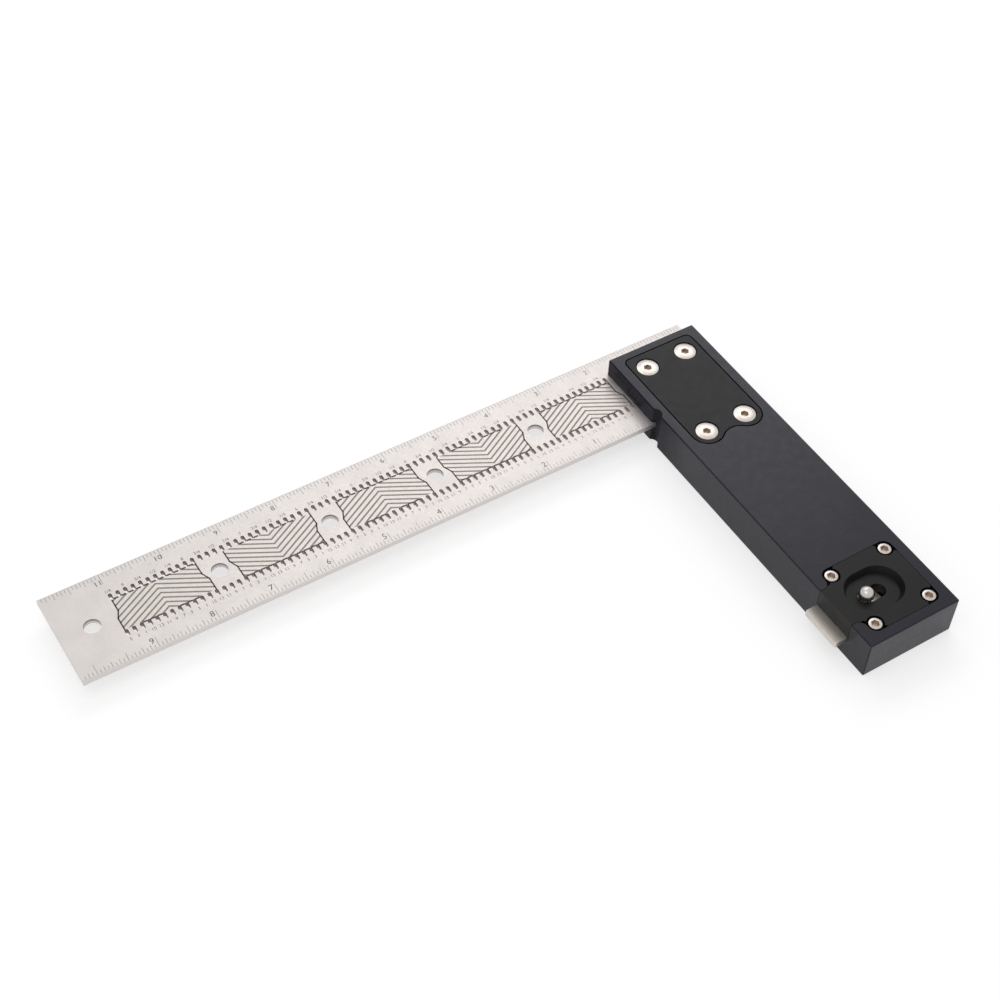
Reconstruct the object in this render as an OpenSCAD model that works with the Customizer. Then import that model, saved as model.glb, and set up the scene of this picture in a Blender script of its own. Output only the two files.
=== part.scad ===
// Precision square: a graduated rule held at a right angle in a metal stock.
// A support lip slides out of the stock's fence face, near the stock's other end,
// and lies level with the underside of the rule.
//
// The origin is the middle of the stock's underside. X runs across the stock, with the
// fence face on the negative side. Y runs along the stock, with the rule at the positive
// end. Z is up.

/* [Stock] */
// Width of the stock, from the fence face to the outer face
stock_w = 44.45; // [44:0.05:54]
// Length of the stock
stock_len = 177.8; // [150:0.1:260]
// Height of the stock
stock_h = 19.05; // [18:0.05:24]
// Chamfer along the stock's edges
edge_break = 0.5; // [0.2:0.1:0.8]
// Radius of the round relief in the fence face, at the rule's inner edge
relief_r = 3.1; // [2.5:0.1:4]
// Depth of the relief in the fence face
relief_depth = 2.1; // [1:0.1:2.4]
// How far the relief's axis lies outside the rule's inner edge
relief_offset = 1.5; // [0:0.1:2]

/* [Rule] */
// Length of the rule
rule_len = 304.8; // [200:0.1:460]
// Width of the rule
rule_w = 44.45; // [40:0.05:48]
// Thickness of the rule
rule_t = 2.5; // [2:0.1:3]
// How far the rule stands past the far end of the stock
rule_overhang = 9.525; // [4:0.025:11]
// Pitch of the pencil slots
slot_pitch = 3.175; // [3:0.005:5]
// Width of a pencil slot
slot_w = 1.5; // [0.8:0.1:1.6]
// Length of a pencil slot, over its round ends
slot_len = 3.4; // [2.6:0.1:4]
// Distance of each row of slots from the rule's middle line
slot_row = 9.525; // [8:0.025:11]
// Bare length between the rows' ends and the rule's tip
slot_margin = 25.4; // [24:0.1:40]
// Diameter of the round holes along the rule's middle line
hole_d = 7; // [5:0.5:8]
// Pitch of the round holes
hole_pitch = 49.2125; // [40:0.0125:60]
// Distance of the first round hole from the fence
hole_first = 45.24; // [40:0.01:60]
// Diameter of the hang hole at the rule's tip
hang_d = 7; // [5:0.5:8]
// Distance of the hang hole's axis from the rule's tip
hang_inset = 13.5; // [10:0.1:16]

/* [Rule cover] */
// Width of the cover
cover_w = 34; // [32:0.1:36]
// Radius of the cover's two lobes, round the near pair of screws
lobe_r = 7.1; // [7:0.1:8]
// Rim of the stock between its far end and the cover
cover_margin = 4.3; // [3:0.1:6]
// Radius of the cover's two far corners
cover_corner_r = 2.5; // [1:0.1:4]
// Radius of the hollow between the cover's two lobes
cover_valley_r = 8.3; // [6:0.1:12]
// Spacing of the cover screws along the stock
cover_screw_dy = 43.2; // [41:0.1:50]
// Distance of the far pair of screws from the cover's far edge
cover_screw_inset = 7.7; // [7:0.1:9]
// Gap all round the cover in its pocket
cover_gap = 0.6; // [0.1:0.05:0.8]

/* [Cover screws] */
// Diameter of the cover screw's flat head
cover_head_d = 9.7; // [9:0.1:11]
// Height of the head
cover_head_h = 2.2; // [1.6:0.1:3]
// Diameter of the threaded shank
cover_shank_d = 5; // [4:0.1:5.5]
// Length of thread in the stock, below the rule
cover_thread = 6.5; // [5:0.1:7]
// Size of the hex socket, across its flats
cover_hex = 3; // [2.5:0.5:4]
// How far the head lies below the face of the cover
cover_recess = 0.3; // [0:0.1:0.6]

/* [Locating pins] */
// Diameter of the two pins that fix the rule square to the stock
pin_d = 4; // [3:0.5:5]
// Length of each pin below the rule
pin_depth = 5; // [4:0.1:7]
// Spacing of the pins across the stock
pin_dx = 26; // [20:0.1:27]
// Distance of the pins from the rule's inner edge
pin_inset = 6; // [5:0.1:8]

/* [Lip housing] */
// Side of the square housing
housing_w = 34; // [32:0.1:36]
// Radius of the housing's corners, round its screws
housing_corner_r = 3.5; // [3.3:0.1:4]
// Distance of the housing's middle from the near end of the stock
housing_inset = 21.6; // [21.5:0.1:40]
// Width of the housing's neck, which reaches the fence face
neck_w = 19; // [17:0.1:20]
// Radius of the stock's rounded corners beside the neck
neck_r = 3.2; // [1.5:0.1:3.6]
// Gap all round the housing in its pocket
housing_gap = 0.2; // [0.1:0.05:0.3]
// Radius of the finger dish
dish_r = 9.8; // [8:0.1:11]
// Depth of the finger dish
dish_depth = 3; // [2:0.1:4]
// How far the dish's wall leans in over its depth
dish_lean = 1.5; // [0.5:0.1:2.5]

/* [Housing screws] */
// Diameter of the screw's round head
housing_head_d = 5.5; // [5:0.1:6]
// Height of the head
housing_head_h = 3; // [2.5:0.1:3.5]
// Diameter of the threaded shank
housing_shank_d = 3; // [2.5:0.1:3.5]
// Length of thread in the stock
housing_thread = 6; // [4:0.1:7]
// Size of the hex socket, across its flats
housing_hex = 3; // [2:0.5:3]
// How far the head lies below the face of the housing
housing_recess = 0.2; // [0:0.1:0.5]

/* [Support lip] */
// How far the lip slides out of the fence face
lip_travel = 5.8; // [4:0.1:7]
// How far the lip plate reaches past its stud, away from the fence
lip_tail = 7.8; // [7:0.1:9]
// Width of the lip plate
lip_w = 18.8; // [16:0.1:18.8]
// Thickness of the lip plate
lip_t = 2.5; // [2:0.1:3]
// Running clearance each side of the lip plate
lip_play = 0.1; // [0.05:0.01:0.15]
// Running clearance above and below the lip plate
lip_lift = 0.05; // [0.03:0.01:0.1]
// How far the stud stands from the dish's end centre, towards the fence
stud_shift = 0.8; // [0:0.1:1]
// Diameter of the ball on the lip's stud
ball_d = 6.6; // [5:0.1:7]
// Height of the ball's centre below the top of the stock
ball_drop = 1.5; // [0.5:0.1:1.7]
// Diameter of the stud's collar, which stops against the slot's ends
collar_d = 6; // [5:0.1:6.5]
// Diameter of the stud's neck and of its foot in the lip
stud_d = 3; // [2.5:0.1:3.5]
// Clearance round the collar in the housing's slot
collar_play = 0.3; // [0.2:0.05:0.5]

/* [Brake plungers] */
// Diameter of the brake pad that holds the lip by friction
pad_d = 4; // [3:0.1:5]
// Height of the brake pad
pad_h = 1.8; // [1.2:0.1:2]
// Distance of each plunger from the lip's middle line
pad_offset = 6.3; // [6:0.1:6.8]
// Wire diameter of the brake spring
wire_d = 0.5; // [0.4:0.05:0.6]
// Height of the pressed spring
spring_h = 2; // [1.6:0.1:2.2]

/* [Hidden] */
$fn = 48;

// Clearance round a screw in its threads and in the plates it passes through
thread_gap = 0.05;
shank_gap = 0.25;
head_gap = 0.3;
// Running clearance under a brake pad and round it
pad_gap = 0.03;
// Clearance round a locating pin and below it
pin_gap = 0.02;
// How far a cutting shape runs past the face it cuts
over = 1;
// Notches in the housing beside each counterbore: their length, root and reach past the counterbore
notch_len = 3.4;
notch_tip = 2;
notch_reach = 1.6;

// The stock's faces
x_fence = -stock_w / 2;
x_outer = stock_w / 2;
y_far = stock_len / 2;
y_near = -stock_len / 2;

// The rule lies at the stock's mid-height, with its end flush with the outer face
rule_z = (stock_h - rule_t) / 2;
rule_top = rule_z + rule_t;
x_tip = x_outer - rule_len;
y_rule_far = y_far + rule_overhang;
y_rule_inner = y_rule_far - rule_w;
y_rule_mid = y_rule_far - rule_w / 2;
row_len = x_fence - x_tip - slot_margin;
far_slots = floor(row_len / slot_pitch + 0.001);
near_slots = far_slots + 1;
hole_count = 1 + floor((row_len - hole_first) / hole_pitch);

// The cover and its screws
y_cover_far = y_far - cover_margin;
y_cover_screws = y_cover_far - cover_screw_inset;
cover_screw_dx = cover_w - 2 * lobe_r;
y_lobe = y_cover_screws - cover_screw_dy;
valley_drop = sqrt(pow(lobe_r + cover_valley_r, 2) - pow(cover_screw_dx / 2, 2));
cover_t = stock_h - rule_top;
y_pins = y_rule_inner + pin_inset;

// The lip, whose underside is level with the rule's
lip_z = rule_z;
lip_top = lip_z + lip_t;
lip_len = lip_tail - x_fence;
y_lip = y_near + housing_inset;
housing_z = lip_top + lip_lift;
housing_t = stock_h - housing_z;
housing_screw_d = housing_w - 2 * housing_corner_r;
counterbore_r = housing_corner_r + 0.1;
dish_z = stock_h - dish_depth;
ball_z = stock_h - ball_drop;
collar_top = dish_z - 0.8;
ball_seat = collar_top + 0.1;
x_stud = -lip_travel - stud_shift;
ball_bore = 2.2;
pad_top = lip_top + pad_gap + pad_h;

// The four corners of a screw rectangle, counted from the far fence-side corner
function corners(dx, dy) = [[-dx / 2, dy / 2], [dx / 2, dy / 2], [dx / 2, -dy / 2], [-dx / 2, -dy / 2]];
cover_screws = [for (p = corners(cover_screw_dx, cover_screw_dy))
                [p[0], p[1] + y_cover_screws - cover_screw_dy / 2]];
housing_screws = [for (p = corners(housing_screw_d, housing_screw_d)) [p[0], p[1] + y_lip]];

// A rectangle about the origin with its corners cut at 45 degrees
module cut_rect(w, h, c) {
    polygon([[-w / 2 + c, -h / 2], [w / 2 - c, -h / 2], [w / 2, -h / 2 + c], [w / 2, h / 2 - c],
             [w / 2 - c, h / 2], [-w / 2 + c, h / 2], [-w / 2, h / 2 - c], [-w / 2, -h / 2 + c]]);
}

// A block standing on z = 0 with all twelve edges chamfered
module chamfered_block(w, l, h, c) {
    intersection() {
        linear_extrude(h) cut_rect(w, l, c);
        translate([0, l / 2, h / 2]) rotate([90, 0, 0]) linear_extrude(l) cut_rect(w, h, c);
        translate([-w / 2, 0, h / 2]) rotate([90, 0, 90]) linear_extrude(w) cut_rect(l, h, c);
    }
}

// A slot with round ends, centred between its two end axes a and b on the X axis
module stadium(a, b, r) {
    translate([a, 0]) circle(r);
    translate([b, 0]) circle(r);
    translate([a, -r]) square([b - a, 2 * r]);
}

// Outline of the cover, grown by g: square far corners with a small radius, two round
// lobes about the near screws and a hollow between them
module cover_plan(g = 0) {
    r = cover_corner_r + g;
    w = cover_w / 2 + g;
    top = y_cover_far + g;
    difference() {
        union() {
            for (s = [-1, 1]) {
                translate([s * (w - r), top - r]) circle(r);
                translate([s * cover_screw_dx / 2, y_lobe]) circle(lobe_r + g);
            }
            translate([-w + r, top - r]) square([2 * (w - r), r]);
            translate([-w, y_lobe]) square([2 * w, top - r - y_lobe]);
            translate([-cover_screw_dx / 2, y_lobe - lobe_r]) square([cover_screw_dx, lobe_r]);
        }
        translate([0, y_lobe - valley_drop]) circle(cover_valley_r - g);
        // What is left of the filling square below the points where the arcs touch
        tangent = (cover_screw_dx / 2) * lobe_r / (lobe_r + cover_valley_r);
        drop = valley_drop * lobe_r / (lobe_r + cover_valley_r);
        translate([-cover_screw_dx / 2 + tangent, y_lobe - lobe_r - over])
            square([cover_screw_dx - 2 * tangent, lobe_r + over - drop]);
    }
}

// Outline of the lip housing, grown by g: a square with round corners about its screws
// and a neck to the fence face, which spreads in a round flare where it joins the square
module housing_plan(g = 0, reach = 0) {
    a = housing_w / 2;
    s = housing_screw_d / 2;
    b = neck_w / 2;
    translate([0, y_lip]) {
        for (p = corners(housing_screw_d, housing_screw_d)) translate(p) circle(housing_corner_r + g);
        translate([-a - g, -s]) square([2 * (a + g), 2 * s]);
        translate([-s, -a - g]) square([2 * s, 2 * (a + g)]);
        translate([x_fence - reach, -b - g]) square([-x_fence + reach, 2 * (b + g)]);
        for (m = [0, 1]) mirror([0, m]) difference() {
            translate([-a - neck_r, 0]) square([neck_r, b + neck_r]);
            translate([-a - neck_r, b + neck_r]) circle(neck_r - g);
        }
    }
}

// A hexagonal socket of the given size across its flats, open at z = 0 and h deep
module hex_socket(flats, h) {
    translate([0, 0, -h]) cylinder(d = flats / cos(30), h = h + over, $fn = 6);
}

// A screw with a round flat head, whose head's face is at z = 0
module flat_screw(head_d, head_h, shank_d, length, hex, depth) {
    difference() {
        union() {
            translate([0, 0, -head_h]) cylinder(d = head_d, h = head_h);
            translate([0, 0, -length]) cylinder(d = shank_d, h = length - head_h / 2);
        }
        hex_socket(hex, depth);
    }
}

// Both pins' holes, from one height to another
module pin_holes(z1, z2) {
    for (s = [-1, 1]) translate([s * pin_dx / 2, y_pins, z1])
        cylinder(d = pin_d + 2 * pin_gap, h = z2 - z1);
}

module stock() {
    color([0.12, 0.12, 0.13]) difference() {
        chamfered_block(stock_w, stock_len, stock_h, edge_break);
        // Slot for the rule, open at the far end and on both sides
        translate([x_fence - over, y_rule_inner, rule_z])
            cube([stock_w + 2 * over, y_far - y_rule_inner + over, rule_t + lip_lift]);
        // Pocket for the cover, down to the rule
        translate([0, 0, rule_top]) linear_extrude(cover_t + over) cover_plan(cover_gap);
        for (p = cover_screws) translate([p[0], p[1], rule_z - cover_thread - over])
            cylinder(d = cover_shank_d + 2 * thread_gap, h = cover_thread + over + rule_t + over);
        pin_holes(rule_z - pin_depth - pin_gap, rule_top);
        // Pocket for the lip housing, and the channel that the lip slides in below it
        translate([0, 0, housing_z]) linear_extrude(housing_t + over) housing_plan(housing_gap, over);
        translate([x_fence - over, y_lip - lip_w / 2 - lip_play, lip_z - lip_lift])
            cube([lip_len + over + 2 * lip_play, lip_w + 2 * lip_play, lip_t + 3 * lip_lift]);
        for (p = housing_screws) translate([p[0], p[1], housing_z - housing_thread - over])
            cylinder(d = housing_shank_d + 2 * thread_gap, h = housing_thread + 2 * over);
        // Round relief at the corner between the fence and the rule's inner edge
        translate([x_fence - relief_r + relief_depth, y_rule_inner - relief_offset, -over])
            cylinder(r = relief_r, h = stock_h + 2 * over);
    }
}

// Plan of the rule, with its rows of pencil slots counted out from the fence
module rule_plan() {
    difference() {
        translate([x_tip, y_rule_inner]) square([rule_len, rule_w]);
        for (i = [1 : far_slots])
            translate([x_fence - i * slot_pitch, y_rule_mid + slot_row]) pencil_slot();
        for (i = [1 : near_slots])
            translate([x_fence - (i - 0.5) * slot_pitch, y_rule_mid - slot_row]) pencil_slot();
    }
}

module pencil_slot() {
    rotate(90) stadium(-(slot_len - slot_w) / 2, (slot_len - slot_w) / 2, slot_w / 2, $fn = 16);
}

module rule() {
    color([0.82, 0.81, 0.8]) difference() {
        translate([0, 0, rule_z]) linear_extrude(rule_t) rule_plan();
        for (i = [0 : hole_count - 1])
            translate([x_fence - hole_first - i * hole_pitch, y_rule_mid, rule_z - over])
                cylinder(d = hole_d, h = rule_t + 2 * over);
        translate([x_tip + hang_inset, y_rule_mid, rule_z - over])
            cylinder(d = hang_d, h = rule_t + 2 * over);
        for (p = cover_screws) translate([p[0], p[1], rule_z - over])
            cylinder(d = cover_shank_d + 2 * shank_gap, h = rule_t + 2 * over);
        pin_holes(rule_z - over, rule_top + over);
    }
}

module rule_cover() {
    color([0.1, 0.1, 0.1]) difference() {
        translate([0, 0, rule_top]) linear_extrude(cover_t) cover_plan();
        for (p = cover_screws) translate([p[0], p[1], rule_top - over]) {
            cylinder(d = cover_shank_d + 2 * shank_gap, h = cover_t + 2 * over);
            translate([0, 0, over + cover_t - cover_head_h - cover_recess])
                cylinder(d = cover_head_d + 2 * head_gap, h = cover_head_h + cover_recess + over);
        }
    }
}

module cover_screw(i) {
    p = cover_screws[i - 1];
    length = stock_h - cover_recess - rule_z + cover_thread;
    color([0.85, 0.84, 0.82]) translate([p[0], p[1], stock_h - cover_recess])
        flat_screw(cover_head_d, cover_head_h, cover_shank_d, length, cover_hex, cover_head_h * 0.7);
}

module rule_pin(s) {
    color([0.7, 0.7, 0.7]) translate([s * pin_dx / 2, y_pins, rule_z - pin_depth])
        cylinder(d = pin_d, h = pin_depth + rule_t);
}

// The dish that a finger slides the ball in, cut from the top of the housing
module finger_dish() {
    low_r = dish_r - dish_lean;
    high_r = dish_r + dish_lean * over / dish_depth;
    translate([0, y_lip, dish_z]) {
        for (x = [-lip_travel, 0]) translate([x, 0, 0])
            cylinder(r1 = low_r, r2 = high_r, h = dish_depth + over);
        translate([-lip_travel, 0, 0]) rotate([90, 0, 90]) linear_extrude(lip_travel)
            polygon([[-low_r, 0], [low_r, 0], [high_r, dish_depth + over], [-high_r, dish_depth + over]]);
    }
}

// The two notches beside a corner's counterbore, which point along the housing's sides
module corner_notches(sx, sy) {
    out = counterbore_r + notch_reach;
    polygon([[sx * counterbore_r, 0], [sx * out, -sy * notch_len],
             [sx * notch_len, -sy * notch_len], [sx * notch_tip, -sy * notch_tip]]);
    polygon([[0, sy * counterbore_r], [-sx * notch_len, sy * out],
             [-sx * notch_len, sy * notch_len], [-sx * notch_tip, sy * notch_tip]]);
}

module lip_housing() {
    slot_r = collar_d / 2 + collar_play;
    color([0.1, 0.1, 0.1]) difference() {
        translate([0, 0, housing_z]) linear_extrude(housing_t) housing_plan();
        finger_dish();
        translate([0, y_lip, housing_z - over]) linear_extrude(housing_t + over)
            stadium(x_stud - collar_play, x_stud + lip_travel + collar_play, slot_r);
        for (p = housing_screws) translate([p[0], p[1], housing_z - over]) {
            cylinder(d = housing_shank_d + 2 * shank_gap, h = housing_t + over);
            // The counterbore takes the whole corner, and a notch on each side ends its thin tips
            translate([0, 0, over + housing_t - housing_head_h - housing_recess])
                linear_extrude(housing_head_h + housing_recess + over) {
                    circle(counterbore_r);
                    corner_notches(sign(p[0]), sign(p[1] - y_lip));
                }
        }
        // Pockets for the brake plungers, open at the bottom
        for (s = [-1, 1]) translate([-lip_travel / 2, y_lip + s * pad_offset, housing_z - over])
            cylinder(d = pad_d + 2 * pad_gap, h = over + pad_top - housing_z + spring_h);
    }
}

module housing_screw(i) {
    p = housing_screws[i - 1];
    length = housing_t - housing_recess + housing_thread;
    color([0.85, 0.84, 0.82]) translate([p[0], p[1], stock_h - housing_recess])
        flat_screw(housing_head_d, housing_head_h, housing_shank_d, length, housing_hex,
                   housing_head_h * 0.5);
}

// The lip is drawn pulled out, as it lies in use
module support_lip() {
    color([0.8, 0.79, 0.77]) difference() {
        translate([x_fence - lip_travel + lip_len / 2, y_lip, lip_z])
            linear_extrude(lip_t) cut_rect(lip_len, lip_w, edge_break);
        translate([x_stud, y_lip, lip_z - over]) cylinder(d = stud_d + 2 * thread_gap, h = lip_t + 2 * over);
    }
}

module lip_stud() {
    color([0.75, 0.75, 0.76]) translate([x_stud, y_lip, 0]) {
        translate([0, 0, lip_z]) cylinder(d = stud_d, h = lip_t);
        translate([0, 0, lip_top]) cylinder(d = collar_d, h = collar_top - lip_top);
        translate([0, 0, collar_top]) cylinder(d = stud_d, h = ball_seat + ball_bore - collar_top);
    }
}

// The ball is cut flat where it sits above the stud's collar
module lip_ball() {
    color([0.85, 0.85, 0.86]) difference() {
        translate([x_stud, y_lip, ball_z]) sphere(d = ball_d);
        translate([x_stud, y_lip, ball_seat - ball_d]) cylinder(d = ball_d + 2 * over, h = ball_d);
        translate([x_stud, y_lip, ball_seat - over]) cylinder(d = stud_d + 2 * thread_gap, h = ball_bore + over);
    }
}

module brake_pad(s) {
    color([0.9, 0.88, 0.8]) translate([-lip_travel / 2, y_lip + s * pad_offset, lip_top + pad_gap])
        cylinder(d = pad_d, h = pad_h);
}

// Points on the wire of a spring that climbs h in the given turns
function coil_ring(a, h, turns, r, wire, sides) = [for (k = [0 : sides - 1])
    let (t = 360 * k / sides, rr = r + wire / 2 * cos(t))
    [rr * cos(a), rr * sin(a), wire / 2 + (h - wire) * a / (360 * turns) + wire / 2 * sin(t)]];

module coil_spring(h, turns, r, wire, sides = 6, steps = 16) {
    rings = turns * steps;
    points = [for (i = [0 : rings]) each coil_ring(360 * i / steps, h, turns, r, wire, sides)];
    faces = [for (i = [0 : rings - 1]) for (k = [0 : sides - 1])
        let (a = i * sides + k, b = i * sides + (k + 1) % sides)
        each [[a, a + sides, b], [b, a + sides, b + sides]]];
    first = [for (k = [1 : sides - 2]) [0, k, k + 1]];
    last = [for (k = [1 : sides - 2]) [rings * sides, rings * sides + k + 1, rings * sides + k]];
    polyhedron(points, concat(faces, first, last));
}

module brake_spring(s) {
    color([0.7, 0.7, 0.7]) translate([-lip_travel / 2, y_lip + s * pad_offset, pad_top])
        coil_spring(spring_h, 3, (pad_d - wire_d) / 2 - pad_gap, wire_d);
}

stock();
rule();
rule_cover();
cover_screw(1);  // cover_screw_1
cover_screw(2);  // cover_screw_2
cover_screw(3);  // cover_screw_3
cover_screw(4);  // cover_screw_4
rule_pin(-1);  // rule_pin_1
rule_pin(1);  // rule_pin_2
lip_housing();
housing_screw(1);  // housing_screw_1
housing_screw(2);  // housing_screw_2
housing_screw(3);  // housing_screw_3
housing_screw(4);  // housing_screw_4
support_lip();
lip_stud();
lip_ball();
brake_pad(1);  // brake_pad_1
brake_pad(-1);  // brake_pad_2
brake_spring(1);  // brake_spring_1
brake_spring(-1);  // brake_spring_2
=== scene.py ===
"""A precision square on a pale table: finishes, printed scale, fasteners, lamps and camera."""

import logging
import math
from dataclasses import dataclass
from enum import Enum
from typing import Callable, Optional, Sequence

import bmesh
import bpy
from mathutils import Matrix, Vector


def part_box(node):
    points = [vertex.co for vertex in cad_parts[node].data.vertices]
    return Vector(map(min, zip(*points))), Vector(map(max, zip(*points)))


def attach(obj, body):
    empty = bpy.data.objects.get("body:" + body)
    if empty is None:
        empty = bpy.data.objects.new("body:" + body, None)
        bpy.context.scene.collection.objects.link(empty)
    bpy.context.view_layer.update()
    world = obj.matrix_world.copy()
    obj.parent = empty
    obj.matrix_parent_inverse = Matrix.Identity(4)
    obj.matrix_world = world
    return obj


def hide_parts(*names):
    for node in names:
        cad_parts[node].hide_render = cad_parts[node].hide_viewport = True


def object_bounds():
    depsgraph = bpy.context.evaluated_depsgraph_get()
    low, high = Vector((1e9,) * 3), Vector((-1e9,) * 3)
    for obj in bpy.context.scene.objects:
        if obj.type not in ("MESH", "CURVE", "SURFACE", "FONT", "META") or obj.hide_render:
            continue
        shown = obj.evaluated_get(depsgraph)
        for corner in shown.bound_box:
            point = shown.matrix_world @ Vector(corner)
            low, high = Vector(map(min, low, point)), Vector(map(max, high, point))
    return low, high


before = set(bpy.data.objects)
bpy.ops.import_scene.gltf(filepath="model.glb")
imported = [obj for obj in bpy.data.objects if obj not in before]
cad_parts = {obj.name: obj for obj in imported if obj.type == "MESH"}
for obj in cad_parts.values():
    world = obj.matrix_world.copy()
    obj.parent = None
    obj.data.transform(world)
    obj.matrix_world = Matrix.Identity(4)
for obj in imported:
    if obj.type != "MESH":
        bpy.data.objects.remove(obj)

LOG = logging.getLogger("precision_square")
MM = 0.001
INCH = 25.4 * MM
CAD_BOX = [list(corner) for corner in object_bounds()]
# How far a mark stands out of the rule's top, and how far it reaches down
MARK_RISE = 0.006 * MM
MARK_DEPTH = 0.03 * MM
# The least share of a normal along an axis on a face that looks that way, and on a level face
FACING = 0.5
LEVEL = 0.9

Colour = tuple[float, float, float]
Point = tuple[float, float, float]
Span = tuple[float, float]
Material = bpy.types.Material
Piece = bpy.types.Object
Shape = bmesh.types.BMesh
Socket = bpy.types.NodeSocket
Profile = Sequence[tuple[float, float, "Outline"]]


class Body(Enum):
    """The two bodies that pieces ride on."""

    SQUARE = "square"
    LIP = "lip"


class Outline(Enum):
    """The outline of one level of a turned piece."""

    ROUND = "round"
    HEX = "hex"


class Apex(Enum):
    """The row of slots that a window's chevrons point to, as a sign along Y."""

    FAR = 1.0
    NEAR = -1.0


# Wiring of materials


class Wiring:
    """A material's node tree, with short calls for the nodes that the finishes share."""

    def __init__(self, name: str, centre: Vector = Vector()) -> None:
        """Starts a material.

        Args:
            name: the material's name.
            centre: the point that patterns are counted from.
        """
        self.material = bpy.data.materials.new(name)
        self.material.use_nodes = True
        self.tree = self.material.node_tree
        self.shader = self.tree.nodes["Principled BSDF"]
        self.place = self.add("ShaderNodeTexCoord").outputs["Object"]
        if centre.length > 0:
            mapping = self.add("ShaderNodeMapping")
            mapping.inputs["Location"].default_value = -centre
            self.link(self.place, mapping.inputs["Vector"])
            self.place = mapping.outputs["Vector"]

    def add(self, kind: str) -> bpy.types.Node:
        """Adds a node of a kind."""
        return self.tree.nodes.new(kind)

    def link(self, output: Socket, target: Socket) -> None:
        """Joins two sockets."""
        self.tree.links.new(output, target)

    def set(self, **values: float | Colour) -> None:
        """Sets sockets of the shader.

        Args:
            values: a number or a colour for each socket, whose name has underscores for spaces.
        """
        for name, value in values.items():
            socket = self.shader.inputs[name.replace("_", " ")]
            socket.default_value = (*value, 1.0) if isinstance(value, tuple) else value

    def vector(self, operation: str, source: Socket) -> bpy.types.Node:
        """Adds a node that works on a vector.

        Args:
            operation: what the node does.
            source: the vector.

        Returns:
            The node.
        """
        node = self.add("ShaderNodeVectorMath")
        node.operation = operation
        self.link(source, node.inputs[0])
        return node

    def length(self, source: Socket) -> Socket:
        """Gives a vector's length."""
        return self.vector("LENGTH", source).outputs["Value"]

    def stretched(self, scale: Point) -> Socket:
        """Gives the place multiplied by a scale.

        Args:
            scale: the factor on each axis.

        Returns:
            The product.
        """
        node = self.vector("MULTIPLY", self.place)
        node.inputs[1].default_value = scale
        return node.outputs["Vector"]

    def noise(self, scale: float, detail: float = 3.0, stretch: Point = (1, 1, 1)) -> Socket:
        """Gives a grey noise.

        Args:
            scale: cells to a metre.
            detail: octaves of finer noise.
            stretch: how many times finer the noise is along each axis.

        Returns:
            The noise's value, around 0.5.
        """
        node = self.add("ShaderNodeTexNoise")
        node.inputs["Scale"].default_value = scale
        node.inputs["Detail"].default_value = detail
        self.link(self.stretched(stretch), node.inputs["Vector"])
        return node.outputs["Fac"]

    def math(self, operation: str, *values: Socket | float) -> Socket:
        """Gives a sum, product or other result.

        Args:
            operation: what is done with the values.
            values: sockets and numbers, in order.

        Returns:
            The result.
        """
        node = self.add("ShaderNodeMath")
        node.operation = operation
        for index, value in enumerate(values):
            if isinstance(value, Socket):
                self.link(value, node.inputs[index])
            else:
                node.inputs[index].default_value = value
        return node.outputs[0]

    def spread(self, value: Socket, low: float, high: float, span: Span = (0.3, 0.7)) -> Socket:
        """Maps a span of a value on another span, and holds it at the ends.

        Args:
            value: the value to map.
            low: what the span's start gives.
            high: what the span's end gives.
            span: the span, which is the middle of a noise unless it is given.

        Returns:
            The mapped value.
        """
        node = self.add("ShaderNodeMapRange")
        limits = {"From Min": span[0], "From Max": span[1], "To Min": low, "To Max": high}
        for name, limit in limits.items():
            node.inputs[name].default_value = limit
        self.link(value, node.inputs["Value"])
        return node.outputs["Result"]

    def blend(self, amount: Socket, first: Colour | Socket, second: Colour | Socket) -> Socket:
        """Gives a colour between two.

        Args:
            amount: the second colour's share.
            first: the colour at a share of 0.
            second: the colour at a share of 1.

        Returns:
            The blended colour.
        """
        node = self.add("ShaderNodeMix")
        node.data_type = "RGBA"
        self.link(amount, node.inputs["Factor"])
        # Among a mix node's sockets the colours are inputs 6 and 7, and output 2
        for index, colour in ((6, first), (7, second)):
            if isinstance(colour, Socket):
                self.link(colour, node.inputs[index])
            else:
                node.inputs[index].default_value = (*colour, 1.0)
        return node.outputs[2]

    def mottled(self, dark: Colour, light: Colour, scale: float, detail: float = 3.0) -> Socket:
        """Gives a colour that wanders between two, by a noise of this scale and detail."""
        return self.blend(self.spread(self.noise(scale, detail), 0, 1), dark, light)

    def axis(self, letter: str, source: Optional[Socket] = None) -> Socket:
        """Gives one coordinate of a vector.

        Args:
            letter: X, Y or Z.
            source: the vector, which is the place unless it is given.

        Returns:
            The coordinate.
        """
        node = self.add("ShaderNodeSeparateXYZ")
        self.link(source or self.place, node.inputs[0])
        return node.outputs[letter]

    def normal(self) -> Socket:
        """Gives the surface's own normal."""
        return self.add("ShaderNodeNewGeometry").outputs["Normal"]

    def paint(self, colour: Socket) -> None:
        """Gives the surface its colour."""
        self.link(colour, self.shader.inputs["Base Color"])

    def roughen(self, value: Socket, middle: float, below: float, above: float) -> None:
        """Lets the roughness run from below to above its middle, by a noise's value."""
        spread = self.spread(value, middle - below, middle + above)
        self.link(spread, self.shader.inputs["Roughness"])

    def bump(self, height: Socket, depth: float) -> None:
        """Bumps the surface.

        Args:
            height: the height, from 0 to 1.
            depth: what a height of 1 means, in metres.
        """
        node = self.add("ShaderNodeBump")
        node.inputs["Distance"].default_value = depth
        node.inputs["Strength"].default_value = 1.0
        self.link(height, node.inputs["Height"])
        self.link(node.outputs["Normal"], self.shader.inputs["Normal"])


# Finishes


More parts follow.
